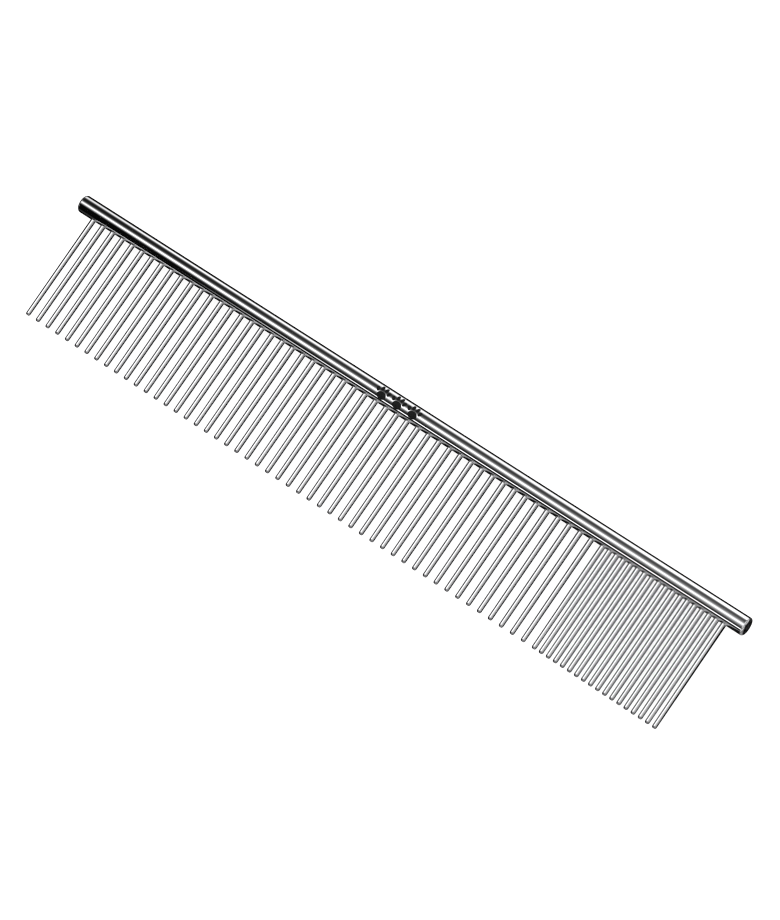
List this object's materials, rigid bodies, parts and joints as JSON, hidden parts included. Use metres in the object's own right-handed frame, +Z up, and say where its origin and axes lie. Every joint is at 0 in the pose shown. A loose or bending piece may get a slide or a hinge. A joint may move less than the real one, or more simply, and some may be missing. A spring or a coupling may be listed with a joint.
{
  "type": "grooming comb",
  "caption": "Straight steel comb: a round bar spine holds one row of round, slightly tapered pins, widely spaced over most of its length and closely spaced at one end.",
  "frame": {"origin": "on the surface that the comb lies on, below the middle of its bounding box", "axes": "+X along the spine towards the closely spaced pins, -Y the way the pins point, +Z up, with the comb lying at rest on the underside of its spine and on its pin tips"},
  "size_m": [0.254, 0.0418, 0.0059],
  "materials": {
    "spine_steel": "polished",
    "pin_steel": "polished"
  },
  "bodies": {
    "root": {"spine": "spine_steel", "coarse_pin_01": "pin_steel", "coarse_pin_02": "pin_steel", "coarse_pin_03": "pin_steel", "coarse_pin_04": "pin_steel", "coarse_pin_05": "pin_steel", "coarse_pin_06": "pin_steel", "coarse_pin_07": "pin_steel", "coarse_pin_08": "pin_steel", "coarse_pin_09": "pin_steel", "coarse_pin_10": "pin_steel", "coarse_pin_11": "pin_steel", "coarse_pin_12": "pin_steel", "coarse_pin_13": "pin_steel", "coarse_pin_14": "pin_steel", "coarse_pin_15": "pin_steel", "coarse_pin_16": "pin_steel", "coarse_pin_17": "pin_steel", "coarse_pin_18": "pin_steel", "coarse_pin_19": "pin_steel", "coarse_pin_20": "pin_steel", "coarse_pin_21": "pin_steel", "coarse_pin_22": "pin_steel", "coarse_pin_23": "pin_steel", "coarse_pin_24": "pin_steel", "coarse_pin_25": "pin_steel", "coarse_pin_26": "pin_steel", "coarse_pin_27": "pin_steel", "coarse_pin_28": "pin_steel", "coarse_pin_29": "pin_steel", "coarse_pin_30": "pin_steel", "coarse_pin_31": "pin_steel", "coarse_pin_32": "pin_steel", "coarse_pin_33": "pin_steel", "coarse_pin_34": "pin_steel", "coarse_pin_35": "pin_steel", "coarse_pin_36": "pin_steel", "coarse_pin_37": "pin_steel", "coarse_pin_38": "pin_steel", "coarse_pin_39": "pin_steel", "coarse_pin_40": "pin_steel", "coarse_pin_41": "pin_steel", "coarse_pin_42": "pin_steel", "coarse_pin_43": "pin_steel", "coarse_pin_44": "pin_steel", "coarse_pin_45": "pin_steel", "coarse_pin_46": "pin_steel", "coarse_pin_47": "pin_steel", "coarse_pin_48": "pin_steel", "coarse_pin_49": "pin_steel", "fine_pins_01": "pin_steel", "fine_pins_02": "pin_steel", "fine_pins_03": "pin_steel", "fine_pins_04": "pin_steel", "fine_pins_05": "pin_steel", "fine_pins_06": "pin_steel", "fine_pins_07": "pin_steel", "fine_pins_08": "pin_steel", "fine_pins_09": "pin_steel"}
  },
  "joints": []
}
